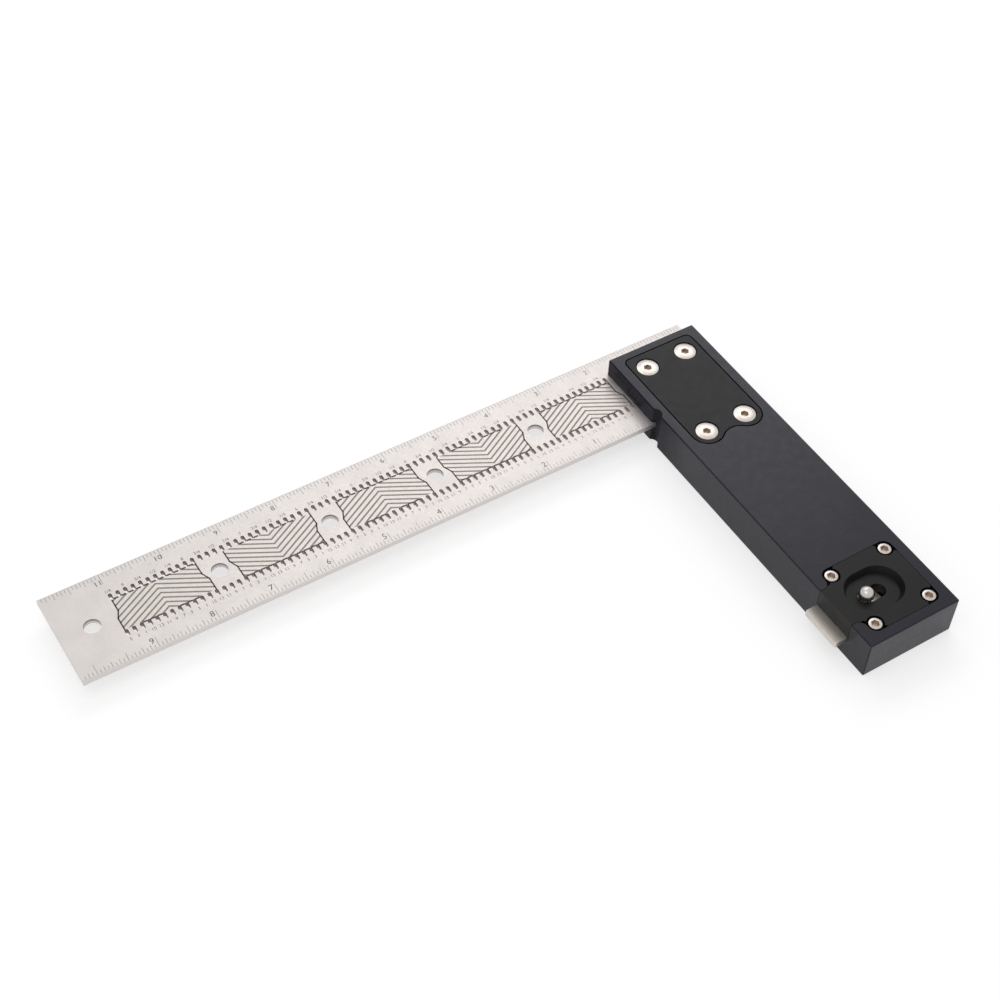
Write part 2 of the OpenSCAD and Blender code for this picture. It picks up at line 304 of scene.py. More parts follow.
@dataclass(frozen=True)
class RuleSteel:
    """Satin stainless sheet with a fine mottle, cut by laser.

    The slots' walls are painted dark brown: partly laser scorch, partly painted shade, deeper by the
    tip. A round hole's wall is dark in its upper part, where the cut began, partly the cut's own
    zone and partly painted shade. Its lower part and the other upright faces are painted lighter as
    painted reflection. A darker band runs along the long edges of the top.
    """

    light: Colour = (0.575, 0.542, 0.527)
    dark: Colour = (0.532, 0.501, 0.487)
    # A darker band along the long edges of the top face
    rim: Colour = (0.500, 0.471, 0.457)
    # Upright faces: a lighter copy of the steel, a painted reflection
    side: Colour = (0.670, 0.636, 0.620)
    # Slot walls: laser scorch and painted shade, darker by the tip
    scorched: Colour = (0.270, 0.225, 0.198)
    browned: Colour = (0.520, 0.450, 0.410)
    # Upper part of a round hole's wall: partly the cut's own darker zone, partly painted shade
    hole_wall: Colour = (0.300, 0.280, 0.270)
    hole_dark_share: float = 0.42
    roughness: float = 0.48
    rim_width: float = 0.55 * MM
    outline_margin: float = 0.3 * MM
    slot_field: float = 7.5 * MM

    def make(self, low: Vector, high: Vector) -> Material:
        """Builds the material.

        Args:
            low: the sheet's lowest corner.
            high: the sheet's highest corner.

        Returns:
            The material.
        """
        w = Wiring("rule_steel")
        w.set(Metallic=1.0)
        steel = w.mottled(self.dark, self.light, scale=120, detail=5)
        middle, half = (low.y + high.y) / 2, (high.y - low.y) / 2
        aside = w.math("ABSOLUTE", w.math("SUBTRACT", w.axis("Y"), middle))
        # A darker band along the long edges of the top face
        top_edge_band = w.math("GREATER_THAN", aside, half - self.rim_width)
        level = w.math("GREATER_THAN", w.axis("Z", w.normal()), FACING)
        steel = w.blend(w.math("MULTIPLY", top_edge_band, level), steel, self.rim)
        upright = w.math("LESS_THAN", w.math("ABSOLUTE", w.axis("Z", w.normal())), FACING)
        # Upright faces take a lighter colour, a painted reflection
        steel = w.blend(upright, steel, self.side)
        # A cut's wall is upright and lies inside the sheet's own outline
        across = w.math("LESS_THAN", aside, half - self.outline_margin)
        along = w.math("GREATER_THAN", w.axis("X"), low.x + self.outline_margin)
        inside = w.math("MULTIPLY", w.math("MULTIPLY", upright, across), along)
        in_slot = w.math("GREATER_THAN", aside, self.slot_field)
        # A round hole's wall: dark above, partly the cut's own zone and partly painted shade;
        # painted reflection below
        dark_start = high.z - self.hole_dark_share * (high.z - low.z)
        hole = w.blend(w.math("GREATER_THAN", w.axis("Z"), dark_start), self.side, self.hole_wall)
        # Slot walls: laser scorch and painted shade, painted darker towards the tip
        from_tip = w.spread(w.axis("X"), 0, 1, (low.x, high.x))
        slot = w.blend(from_tip, self.scorched, self.browned)
        w.paint(w.blend(inside, steel, w.blend(in_slot, hole, slot)))
        grain = w.noise(scale=2400, detail=2, stretch=(0.25, 1, 1))
        w.roughen(grain, self.roughness, below=0.04, above=0.06)
        w.bump(grain, depth=0.004 * MM)
        return w.material


@dataclass(frozen=True)
class Anodised:
    """Blasted and anodised aluminium, near black.

    A face that looks along -X can lose some of its sheen towards +Y, as painted shade.
    """

    name: str
    dark: Colour
    light: Colour
    roughness: float
    sheen: float
    # Sheen left on the fence face beside the rule: painted shade
    fence_sheen: Optional[float] = None
    fade_span: Span = (30.0 * MM, 46.0 * MM)

    def make(self) -> Material:
        """Builds the material.

        Returns:
            The material.
        """
        w = Wiring(self.name)
        w.set(Specular_IOR_Level=self.sheen)
        # Painted shade: the fence face loses sheen towards the rule
        if self.fence_sheen is not None:
            fence = w.math("LESS_THAN", w.axis("X", w.normal()), -FACING)
            share = w.math("MULTIPLY", fence, w.spread(w.axis("Y"), 0.0, 1.0, self.fade_span))
            shade_cut = w.math("MULTIPLY", share, self.sheen - self.fence_sheen)
            w.link(w.math("SUBTRACT", self.sheen, shade_cut), w.shader.inputs["Specular IOR Level"])
        w.paint(w.mottled(self.dark, self.light, scale=90, detail=4))
        w.roughen(w.noise(scale=260), self.roughness, below=0.03, above=0.04)
        w.bump(w.noise(scale=5200, detail=2), depth=0.006 * MM)
        return w.material


@dataclass(frozen=True)
class TurnedSteel:
    """Bright steel with faint rings from the lathe round its own axis; painted shade in its socket.
    """

    name: str
    colour: Colour = (0.545, 0.500, 0.468)
    shade: Colour = (0.480, 0.436, 0.404)
    # Inside the socket the steel is painted darker and browner as painted shade
    socket: Colour = (0.440, 0.360, 0.290)
    socket_radius: float = 2.1 * MM
    socket_top: float = -0.2 * MM
    roughness: float = 0.30
    rings: float = 900.0
    waver: float = 1.5

    def make(self, centre: Vector) -> Material:
        """Builds the material.

        Args:
            centre: a point on the upright axis, at the height that the socket starts from.

        Returns:
            The material.
        """
        w = Wiring(self.name, centre)
        w.set(Metallic=1.0)
        rings = w.add("ShaderNodeTexWave")
        rings.wave_type = "RINGS"
        rings.rings_direction = "Z"
        rings.inputs["Scale"].default_value = self.rings
        rings.inputs["Distortion"].default_value = self.waver
        w.link(w.place, rings.inputs["Vector"])
        bright = w.mottled(self.shade, self.colour, scale=500)
        # Painted shade inside the hex socket
        near = w.math("LESS_THAN", w.length(w.stretched((1, 1, 0))), self.socket_radius)
        below = w.math("LESS_THAN", w.axis("Z"), self.socket_top)
        w.paint(w.blend(w.math("MULTIPLY", near, below), bright, self.socket))
        w.roughen(w.noise(scale=1500, detail=2), self.roughness, below=0.03, above=0.05)
        w.bump(rings.outputs["Fac"], depth=0.003 * MM)
        return w.material


@dataclass(frozen=True)
class PolishedSteel:
    """Polished steel with very fine lines along one axis."""

    name: str
    colour: Colour = (0.72, 0.68, 0.63)
    shade: Colour = (0.66, 0.62, 0.57)
    roughness: float = 0.16
    stretch: Point = (1.0, 0.06, 1.0)

    def make(self) -> Material:
        """Builds the material.

        Returns:
            The material.
        """
        w = Wiring(self.name)
        w.set(Metallic=1.0)
        w.paint(w.mottled(self.shade, self.colour, scale=400))
        lines = w.noise(scale=6000, detail=2, stretch=self.stretch)
        w.roughen(lines, self.roughness, below=0.03, above=0.05)
        w.bump(lines, depth=0.0015 * MM)
        return w.material


@dataclass(frozen=True)
class Etching:
    """Marks burnt into the steel, slightly uneven in tone, which a painted highlight can pale
    towards +X.
    """

    name: str
    dark: Colour
    light: Colour
    # A paler tone that the marks fade to towards +X, a painted highlight
    worn: Colour = (0.45, 0.42, 0.40)
    worn_share: float = 0.0
    worn_span: Span = (-240 * MM, -30 * MM)

    def make(self) -> Material:
        """Builds the material.

        Returns:
            The material.
        """
        w = Wiring(self.name)
        w.set(Roughness=0.55, Specular_IOR_Level=0.35)
        tone = w.mottled(self.dark, self.light, scale=1500)
        # Painted highlight: the marks pale towards +X
        if self.worn_share > 0:
            painted_highlight = w.spread(w.axis("X"), 0.0, self.worn_share, self.worn_span)
            tone = w.blend(painted_highlight, tone, self.worn)
        w.paint(tone)
        w.bump(w.noise(scale=9000, detail=2), depth=0.003 * MM)
        return w.material


@dataclass(frozen=True)
class PadPlastic:
    """Plain moulded acetal."""

    colour: Colour = (0.78, 0.75, 0.66)
    shade: Colour = (0.70, 0.67, 0.58)
    roughness: float = 0.5

    def make(self) -> Material:
        """Builds the material.

        Returns:
            The material.
        """
        w = Wiring("pad_plastic")
        w.set(Roughness=self.roughness)
        w.paint(w.mottled(self.shade, self.colour, scale=600))
        w.bump(w.noise(scale=3000, detail=2), depth=0.004 * MM)
        return w.material


# Meshes


def put(piece: Piece, body: Body, material: Material,
        stands_for: Sequence[str] = ()) -> None:
    """Dresses a piece, lets it ride on a body and reports it.

    Args:
        piece: the finished object, at the origin.
        body: the body that it moves with.
        material: its only material.
        stands_for: the nodes that it replaces.
    """
    piece.data.materials.clear()
    piece.data.materials.append(material)
    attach(piece, body.value)
    if stands_for:
        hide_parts(*stands_for)
    LOG.info("%s: %d faces on %s", piece.name, len(piece.data.polygons), body.value)


def dress(node: str, material: Material) -> None:
    """Gives a node of the frame its material.

    Args:
        node: the node's name.
        material: its only material.
    """
    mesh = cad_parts[node].data
    mesh.materials.clear()
    mesh.materials.append(material)
    LOG.info("%s: dressed in %s", node, material.name)


def to_object(shape: Shape, name: str, smooth_angle: float = 0.0) -> Piece:
    """Turns a bmesh into an object at the origin.

    Args:
        shape: the finished bmesh, which is freed.
        name: the object's name.
        smooth_angle: edges flatter than this angle in degrees are shaded smooth.

    Returns:
        The new object.
    """
    bmesh.ops.recalc_face_normals(shape, faces=shape.faces)
    mesh = bpy.data.meshes.new(name)
    shape.to_mesh(mesh)
    shape.free()
    if smooth_angle > 0:
        mesh.shade_smooth()
        mesh.set_sharp_from_angle(angle=math.radians(smooth_angle))
    piece = bpy.data.objects.new(name, mesh)
    bpy.context.scene.collection.objects.link(piece)
    return piece


def top_centre(low: Vector, high: Vector) -> Vector:
    """Gives the middle of the upper face of the box between two corners."""
    return Vector(((low.x + high.x) / 2, (low.y + high.y) / 2, high.z))


def add_box(shape: Shape, low: Vector, high: Vector) -> None:
    """Adds an upright box.

    Args:
        shape: the bmesh that takes it.
        low: the box's lowest corner.
        high: the box's highest corner.
    """
    size = high - low
    place = Matrix.Translation((low + high) / 2) @ Matrix.Diagonal((*size, 1.0))
    bmesh.ops.create_cube(shape, size=1.0, matrix=place)


def add_strip(shape: Shape, start: Vector, end: Vector, width: float) -> None:
    """Adds a flat strip as deep as a mark, half a width longer at each end than its line.

    Args:
        shape: the bmesh that takes it.
        start: where the middle line of its upper face starts.
        end: where that line ends.
        width: the strip's width.
    """
    along = end - start
    turn = Matrix.Rotation(math.atan2(along.y, along.x), 4, "Z")
    size = Matrix.Diagonal((along.length + width, width, MARK_DEPTH, 1.0))
    centre = (start + end) / 2 - Vector((0, 0, MARK_DEPTH / 2))
    bmesh.ops.create_cube(shape, size=1.0, matrix=Matrix.Translation(centre) @ turn @ size)


def put_in_order(shape: Shape) -> None:
    """Sorts corners and faces by place, since their order in a new sphere varies by run.

    Args:
        shape: the bmesh to sort.
    """
    for parts, place in ((shape.verts, lambda vert: tuple(vert.co)),
                         (shape.faces, lambda face: tuple(face.calc_center_median()))):
        for index, part in enumerate(sorted(parts, key=place)):
            part.index = index
        parts.sort()


def clip(shape: Shape, point: Vector, outward: Vector) -> None:
    """Cuts away what lies beyond a plane and closes the cut.

    Args:
        shape: the bmesh to cut.
        point: a point on the plane.
        outward: the plane's normal, on the side that goes.
    """
    whole = [*shape.verts, *shape.edges, *shape.faces]
    cut = bmesh.ops.bisect_plane(shape, geom=whole, plane_co=point, plane_no=outward,
                                 clear_outer=True)
    rim = [part for part in cut["geom_cut"] if isinstance(part, bmesh.types.BMEdge)]
    bmesh.ops.holes_fill(shape, edges=rim, sides=0)


def add_shape(target: Shape, source: Shape) -> None:
    """Adds one bmesh to another.

    Args:
        target: the bmesh that takes the other.
        source: the other, which is freed.
    """
    mesh = bpy.data.meshes.new("part")
    source.to_mesh(mesh)
    source.free()
    target.from_mesh(mesh)
    bpy.data.meshes.remove(mesh)


def add_words(shape: Shape, words: str, place: Vector, height: float) -> None:
    """Adds words that lie flat and are as deep as a mark.

    Args:
        shape: the bmesh that takes them.
        words: the digits to write.
        place: the centre of the words' upper face.
        height: the height of a digit.
    """
    digit_share = 0.70
    curve = bpy.data.curves.new("words", "FONT")
    curve.body = words
    curve.size = height / digit_share
    curve.align_x = "CENTER"
    curve.extrude = MARK_DEPTH / 2
    curve.resolution_u = 2
    text = bpy.data.objects.new("words", curve)
    bpy.context.scene.collection.objects.link(text)
    bpy.context.view_layer.update()
    shown = text.evaluated_get(bpy.context.evaluated_depsgraph_get())
    mesh = bpy.data.meshes.new_from_object(shown)
    mesh.transform(Matrix.Translation(place - Vector((0, height / 2, MARK_DEPTH / 2))))
    shape.from_mesh(mesh)
    bpy.data.objects.remove(text)
    bpy.data.curves.remove(curve)
    bpy.data.meshes.remove(mesh)


def turned(name: str, centre: Vector, profile: Profile, segments: int = 48) -> Piece:
    """Builds a closed piece from levels that are bridged in order.

    Args:
        name: the piece's name.
        centre: the point that radii and heights are counted from.
        profile: radius, height and outline of each level; a hex's radius is half its width
            across the flats.
        segments: points on each level, a multiple of six.

    Returns:
        The piece, shaded smooth between its levels.
    """
    flat = math.radians(60)
    shape = bmesh.new()
    previous: list[bmesh.types.BMEdge] = []
    for index, (radius, height, outline) in enumerate(profile):
        made = bmesh.ops.create_circle(shape, segments=segments, radius=radius,
                                       matrix=Matrix.Translation((0, 0, height)))["verts"]
        if outline is Outline.HEX:
            for vert in made:
                angle = math.atan2(vert.co.y, vert.co.x) % flat - flat / 2
                vert.co.x /= math.cos(angle)
                vert.co.y /= math.cos(angle)
        ring = list({edge for vert in made for edge in vert.link_edges})
        if previous:
            bmesh.ops.bridge_loops(shape, edges=previous + ring)
        if index in (0, len(profile) - 1):
            bmesh.ops.contextual_create(shape, geom=ring)
        previous = ring
    bmesh.ops.translate(shape, vec=centre, verts=shape.verts)
    return to_object(shape, name, smooth_angle=35)


def merged_copy(node: str) -> Shape:
    """Copies a node's mesh with its corners joined and its stored normals left out.

    Args:
        node: the node's name.

    Returns:
        The copy.
    """
    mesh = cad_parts[node].data.copy()
    if "custom_normal" in mesh.attributes:
        mesh.attributes.remove(mesh.attributes["custom_normal"])
    shape = bmesh.new()
    shape.from_mesh(mesh)
    bpy.data.meshes.remove(mesh)
    bmesh.ops.remove_doubles(shape, verts=shape.verts, dist=0.001 * MM)
    return shape


def shift_corner(shape: Shape, vert: bmesh.types.BMVert, step: Vector) -> None:
    """Moves a corner of an upright wall and fills the level faces round it anew.

    Args:
        shape: the bmesh to change.
        vert: the corner.
        step: how far it moves.
    """
    level = [face for face in vert.link_faces if abs(face.normal.z) > LEVEL]
    region = bmesh.ops.dissolve_faces(shape, faces=level)["region"]
    vert.co += step
    bmesh.ops.triangulate(shape, faces=region)


# The rule


@dataclass
class InchScale:
    """The tick marks and inch numbers along one edge of the rule.

    Inches count from zero towards -X. The ticks run inward from the edge, by a sign along Y.
    """

    name: str
    zero: float
    edge: float
    inward: float
    low_end: float
    top: float
    number_height: float
    last_number: int
    number_inset: float = 4.3 * MM
    number_shift: float = 1.7 * MM
    ticks: int = 16
    tick_start: float = 0.5 * MM
    tick_width: float = 0.16 * MM
    tick_ends: tuple[tuple[int, float], ...] = (
        (16, 5.4 * MM), (8, 4.1 * MM), (4, 3.4 * MM), (2, 2.8 * MM), (1, 2.2 * MM))

    def tick_end(self, count: int) -> float:
        """Gives how far inward a tick ends, by its count from zero."""
        return next(end for step, end in self.tick_ends if count % step == 0)

    def build(self) -> Piece:
        """Builds all marks of this edge.

        Returns:
            The marks, as one object.
        """
        shape = bmesh.new()
        top = self.top + MARK_RISE
        for count in range(int((self.zero - self.low_end) / INCH * self.ticks) + 1):
            x = self.zero - count * INCH / self.ticks
            if not self.low_end + self.tick_width < x < self.zero - self.tick_width:
                continue
            ends = sorted(self.edge + self.inward * end
                          for end in (self.tick_start, self.tick_end(count)))
            add_box(shape, Vector((x - self.tick_width / 2, ends[0], self.top - MARK_DEPTH)),
                    Vector((x + self.tick_width / 2, ends[1], top)))
        y = self.edge + self.inward * self.number_inset
        for inch in range(1, self.last_number + 1):
            x = self.zero - inch * INCH - self.number_shift
            add_words(shape, str(inch), Vector((x, y, top)), self.number_height)
        return to_object(shape, self.name)


@dataclass
class SlotLabels:
    """The small numbers beside both rows of pencil slots.

    One row counts quarters of an inch from the fence, the other the odd sixteenths of each inch.
    """

    fence: float
    pitch: float
    top: float
    quarter_row: float
    sixteenth_row: float
    slots: int
    height: float = 1.5 * MM

    def build(self) -> Piece:
        """Builds the numbers.

        Returns:
            The numbers, as one object.
        """
        shape = bmesh.new()
        top = self.top + MARK_RISE
        for quarter in range(1, self.slots // 2 + 1):
            words = ("{}", "1/4", "1/2", "3/4")[quarter % 4].format(quarter // 4)
            x = self.fence - quarter * 2 * self.pitch
            add_words(shape, words, Vector((x, self.quarter_row, top)), self.height)
        for index in range(self.slots + 1):
            words = str(2 * (index % 8) + 1)
            x = self.fence - (index + 0.5) * self.pitch
            add_words(shape, words, Vector((x, self.sixteenth_row, top)), self.height)
        return to_object(shape, "slot_numbers")


@dataclass
class Window:
    """One etched field of chevrons between the rows of slots.

    Its border runs down both sides, and joins neighbouring slots by short links: all along the
    row that the chevrons point to, and over two runs of three on the other row.
    """

    centre: float
    apex: Apex
    pitch: float
    far: float
    near: float
    top: float
    apex_gaps: int = 11
    foot_gaps: int = 12
    side_shift: float = 0.3 * MM
    side_gap: float = 0.18 * MM
    far_link: float = 0.23 * MM
    near_link: float = 0.33 * MM
    link_reach: float = 0.65 * MM
    link_width: float = 0.75 * MM
    link_run: Span = (1.0, 4.0)
    border: float = 0.60 * MM
    band: float = 0.85 * MM
    band_pitch: float = 2.54 * MM
    first_band: float = 1.22 * MM
    slope: float = 0.545
    kink: float = 1.8 * MM
    field_reach: float = 7.0

    def gaps(self, row: Apex) -> int:
        """Gives how many gaps between slots the window spans at a row."""
        return self.apex_gaps if self.apex is row else self.foot_gaps

    def side(self, sign: float) -> list[Vector]:
        """Gives the corners of one side of the window, from the far row to the near row.

        Args:
            sign: 1 for the side towards +X, -1 for the other.

        Returns:
            The four corners, at the height of the marks' tops.
        """
        middle = (self.far + self.near) / 2
        z = self.top + MARK_RISE
        far_x, near_x = (self.centre + sign * (self.gaps(row) * self.pitch / 2 + self.side_shift)
                         for row in (Apex.FAR, Apex.NEAR))
        return [Vector((far_x, self.far, z)), Vector((far_x, middle + self.kink, z)),
                Vector((near_x, middle - self.kink, z)), Vector((near_x, self.near, z))]

    def add_border(self, shape: Shape) -> None:
        """Adds the window's side lines and the links between its slots.

        Args:
            shape: the bmesh that takes them.
        """
        for sign in (-1.0, 1.0):
            corners = self.side(sign)
            corners[0].y -= self.side_gap
            corners[-1].y += self.side_gap
            for start, end in zip(corners, corners[1:]):
                add_strip(shape, start, end, self.border)
        self.add_links(shape, self.far + self.far_link, Apex.FAR)
        self.add_links(shape, self.near - self.near_link, Apex.NEAR)

    def add_links(self, shape: Shape, y: float, row: Apex) -> None:
        """Adds the links along one row: all of them, or two runs of three beside the middle.

        Args:
            shape: the bmesh that takes them.
            y: where the links lie.
            row: the row.
        """
        low, high = self.link_run
        gaps = self.gaps(row)
        for gap in range(gaps):
            steps = gap - (gaps - 1) / 2
            if self.apex is row or low < abs(steps) < high:
                middle = Vector((self.centre + steps * self.pitch, y, self.top + MARK_RISE))
                reach = Vector((self.link_reach, 0, 0))
                add_strip(shape, middle - reach, middle + reach, self.link_width)

    def add_within(self, shape: Shape, make: Callable[[], Shape]) -> None:
        """Adds a field, cut to the window's outline.

        Args:
            shape: the bmesh that takes it.
            make: gives the uncut field, once for each straight stretch of the window's sides.
        """
        left, right = self.side(-1.0), self.side(1.0)
        for index in range(len(left) - 1):
            field = make()
            clip(field, left[index], Vector((0, 1, 0)))
            clip(field, left[index + 1], Vector((0, -1, 0)))
            for corners, sign in ((left, 1.0), (right, -1.0)):
                run = corners[index + 1] - corners[index]
                clip(field, corners[index], Vector((run.y, -run.x, 0)) * sign)
            add_shape(shape, field)

    def ground(self) -> Shape:
        """Builds a plate for the tinted ground.

        Returns:
            The plate, wider than the window and lower than the marks.
        """
        field = bmesh.new()
        reach = Vector((self.field_reach * self.pitch, 0, 0))
        low = Vector((self.centre, self.near, self.top - MARK_DEPTH)) - reach
        high = Vector((self.centre, self.far, self.top + MARK_RISE / 2)) + reach
        add_box(field, low, high)
        return field

    def chevrons(self) -> Shape:
        """Builds the whole field of chevrons.

        Returns:
            The chevrons, wider and taller than the window.
        """
        field = bmesh.new()
        reach = self.field_reach * self.pitch
        edge = self.far if self.apex is Apex.FAR else self.near
        sign = -self.apex.value
        z = self.top + MARK_RISE - MARK_DEPTH / 2
        spare = int(reach * self.slope / self.band_pitch) + 1
        for index in range(-spare, int((self.far - self.near) / self.band_pitch) + 1):
            y = edge + sign * (self.first_band + index * self.band_pitch)
            for side in (-1.0, 1.0):
                lean = Matrix.Identity(4)
                lean[0][0] = reach
                lean[1][0] = sign * side * self.slope * reach
                lean[1][1] = self.band
                lean[2][2] = MARK_DEPTH
                centre = (self.centre + side * reach / 2, y + sign * self.slope * reach / 2, z)
                bmesh.ops.create_cube(field, size=1.0, matrix=Matrix.Translation(centre) @ lean)
        return field


@dataclass
class Rule:
    """The graduated rule: steel, scales, slot numbers and etched windows."""

    pitch: float = 3.175 * MM
    slots: int = 74
    slot_row: float = 9.525 * MM
    slot_reach: float = 1.7 * MM
    slot_gap: float = 0.03 * MM
    quarter_row: float = 12.6 * MM
    sixteenth_row: float = 13.0 * MM
    windows: int = 5
    first_window: float = 6.5
    window_step: float = 15.5

    def __post_init__(self) -> None:
        """Reads the rule's place from the frame."""
        self.low, self.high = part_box("rule")
        self.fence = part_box("stock")[0].x
        self.middle = (self.low.y + self.high.y) / 2

    def scales(self) -> list[InchScale]:
        """Sets out the two inch scales.

        Returns:
            The scale from the rule's end and the scale from the fence.
        """
        outer = InchScale("outer_scale", zero=self.high.x, edge=self.high.y, inward=-1.0,
                          low_end=self.low.x, top=self.high.z,
                          number_height=2.5 * MM, last_number=11)
        inner = InchScale("inner_scale", zero=self.fence, edge=self.low.y, inward=1.0,
                          low_end=self.low.x, top=self.high.z,
                          number_height=2.8 * MM, last_number=9)
        return [outer, inner]

    def dress(self) -> None:
        """Gives the rule its steel and its marks."""
        dress("rule", RuleSteel().make(self.low, self.high))
        # The scale marks pale towards the stock, a painted highlight
        ink = Etching("scale_ink", (0.115, 0.101, 0.093), (0.170, 0.152, 0.142), worn_share=0.45)
        marks = ink.make()
        labels = SlotLabels(self.fence, self.pitch, self.high.z, self.middle + self.quarter_row,
                            self.middle - self.sixteenth_row, self.slots)
        for group in (*self.scales(), labels):
            put(group.build(), Body.SQUARE, marks)
        self.etch()

    def etch(self) -> None:
        """Adds the windows' grounds, borders and chevrons."""
        borders, bands, grounds = bmesh.new(), bmesh.new(), bmesh.new()
        inset = self.slot_row - self.slot_reach - self.slot_gap
        for index in range(self.windows):
            centre = self.fence - (self.first_window + index * self.window_step) * self.pitch
            apex = Apex.FAR if index % 2 == 0 else Apex.NEAR
            window = Window(centre, apex, self.pitch, self.middle + inset, self.middle - inset,
                            self.high.z)
            window.add_border(borders)
            window.add_within(bands, window.chevrons)
            window.add_within(grounds, window.ground)
        tint = PolishedSteel("window_tint", (0.575, 0.542, 0.513), (0.532, 0.501, 0.476),
                             roughness=0.48, stretch=(1, 1, 1))
        line = Etching("border_ink", (0.060, 0.048, 0.042), (0.095, 0.080, 0.070))
        hatch = Etching("hatch_ink", (0.285, 0.250, 0.222), (0.345, 0.308, 0.276))
        for shape, name, finish in ((grounds, "window_grounds", tint),
                                    (borders, "window_borders", line),
                                    (bands, "window_chevrons", hatch)):
            put(to_object(shape, name), Body.SQUARE, finish.make())


# The stock and its fasteners


@dataclass
class Screw:
    """A flat-headed screw with a hex socket and a threaded shank."""

    node: str
    head_height: float
    shank: float
    thread_pitch: float
    socket: float = 3.0 * MM
    socket_depth: float = 1.5 * MM
    rim: float = 0.12 * MM
    edge: float = 0.25 * MM
    bevel_share: float = 0.3
    thread_share: float = 0.45
    point: float = 0.4 * MM

    def build(self) -> Piece:
        """Builds the screw in place of its node.

        Returns:
            The finished object.
        """
        low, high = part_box(self.node)
        radius = (high.x - low.x) / 2
        length = high.z - low.z
        half = self.socket / 2
        bevel = self.bevel_share * self.edge
        root = self.shank - self.thread_share * self.thread_pitch
        hollow = [(half, -self.socket_depth), (half, -self.rim), (half + self.rim, 0.0)]
        solid = [(radius - self.edge, 0.0), (radius - bevel, -bevel), (radius, -self.edge),
                 (radius, -self.head_height), (self.shank, -self.head_height)]
        for turn in range(int((length - self.head_height) / self.thread_pitch) - 1):
            crest = -self.head_height - (turn + 0.5) * self.thread_pitch
            solid += [(self.shank, crest), (root, crest - self.thread_pitch / 2)]
        solid += [(self.shank, -length + self.point), (self.shank - self.point, -length)]
        profile = [(*level, Outline.HEX) for level in hollow]
        profile += [(*level, Outline.ROUND) for level in solid]
        return turned(self.node + "_bright", top_centre(low, high), profile)

    def dress(self) -> None:
        """Puts the screw in place with its turned finish."""
        finish = TurnedSteel(self.node + "_steel").make(top_centre(*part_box(self.node)))
        put(self.build(), Body.SQUARE, finish, (self.node,))


@dataclass(frozen=True)
class Lobe:
    """A round lobe of the cover, about the centre of a screw."""

    centre: Vector
    radius: float
    arc_reach: float = 4.6 * MM
    margin: float = 1.2 * MM
    slack: float = 0.03 * MM
    least_step: float = 0.01 * MM

    def arm(self, vert: bmesh.types.BMVert) -> Vector:
        """Gives the level vector from the lobe's centre to a corner."""
        return Vector((vert.co.x - self.centre.x, vert.co.y - self.centre.y, 0))

    def beside(self, vert: bmesh.types.BMVert) -> bool:
        """Says whether a corner lies by the part of the arc that leads to the hollow.

        Args:
            vert: the corner.

        Returns:
            Whether it lies there, up to a margin outside the arc.
        """
        arm = self.arm(vert)
        inward = -math.copysign(1.0, self.centre.x) * arm.x
        off_arc = abs(arm.length - self.radius - self.margin / 2)
        return off_arc < self.margin / 2 + self.slack and arm.y < 0 and 0 < inward < self.arc_reach

    def round_off(self, shape: Shape, growth: float, floor: float) -> None:
        """Brings the corners beside the arc onto one circle about the lobe's centre.

        Args:
            shape: the mesh to change.
            growth: how far outside the lobe the circle lies, in metres.
            floor: the height above which corners are looked at, in metres.
        """
        for vert in [vert for vert in shape.verts if vert.co.z > floor and self.beside(vert)]:
            arm = self.arm(vert)
            step = arm.normalized() * (self.radius + growth - arm.length)
            if step.length > self.least_step:
                shift_corner(shape, vert, step)


@dataclass
class Stock:
    """The bar, its cover, the cover's screws and the hidden pins."""

    screws: int = 4
    pins: int = 2
    clearance: float = 0.6 * MM
    slack: float = 0.01 * MM

    def lobes(self) -> list[Lobe]:
        """Finds the cover's two lobes, which lie about the near pair of screws.

        Returns:
            The lobes.
        """
        low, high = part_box("rule_cover")
        centres = [top_centre(*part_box(f"cover_screw_{index + 1}")) for index in range(self.screws)]
        return [Lobe(centre, centre.y - low.y) for centre in centres
                if centre.y < (low.y + high.y) / 2]

    def bar(self) -> Piece:
        """Copies the bar, with the pocket's edge kept clear of the cover's lobes.

        Returns:
            The copy, as an object.
        """
        shape = merged_copy("stock")
        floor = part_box("rule_cover")[0].z - self.slack
        for lobe in self.lobes():
            lobe.round_off(shape, self.clearance, floor)
        return to_object(shape, "stock_bar", smooth_angle=30)

    def plate(self) -> Piece:
        """Copies the cover, with its two points beside the hollow drawn back to round lobes.

        Returns:
            The copy, as an object.
        """
        shape = merged_copy("rule_cover")
        for lobe in self.lobes():
            lobe.round_off(shape, 0.0, 0.0)
        return to_object(shape, "cover_plate", smooth_angle=30)

    def dress(self) -> None:
        """Dresses the bar and what is fastened to it at the rule's end."""
        # The bar's fence face loses sheen towards the rule, a painted shade
        bar = Anodised("bar_anodised", (0.006, 0.006, 0.014), (0.009, 0.009, 0.019),
                       roughness=0.28, sheen=0.275, fence_sheen=0.12)
        plate = Anodised("plate_anodised", (0.005, 0.005, 0.007), (0.008, 0.008, 0.010),
                         roughness=0.34, sheen=0.19)
        put(self.bar(), Body.SQUARE, bar.make(), ("stock",))
        put(self.plate(), Body.SQUARE, plate.make(), ("rule_cover",))
        for index in range(self.screws):
            Screw(f"cover_screw_{index + 1}", head_height=2.2 * MM, shank=2.5 * MM,
                  thread_pitch=0.8 * MM).dress()
        for index in range(self.pins):
            low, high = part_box(f"rule_pin_{index + 1}")
            finish = TurnedSteel(f"pin_steel_{index + 1}").make((low + high) / 2)
            dress(f"rule_pin_{index + 1}", finish)


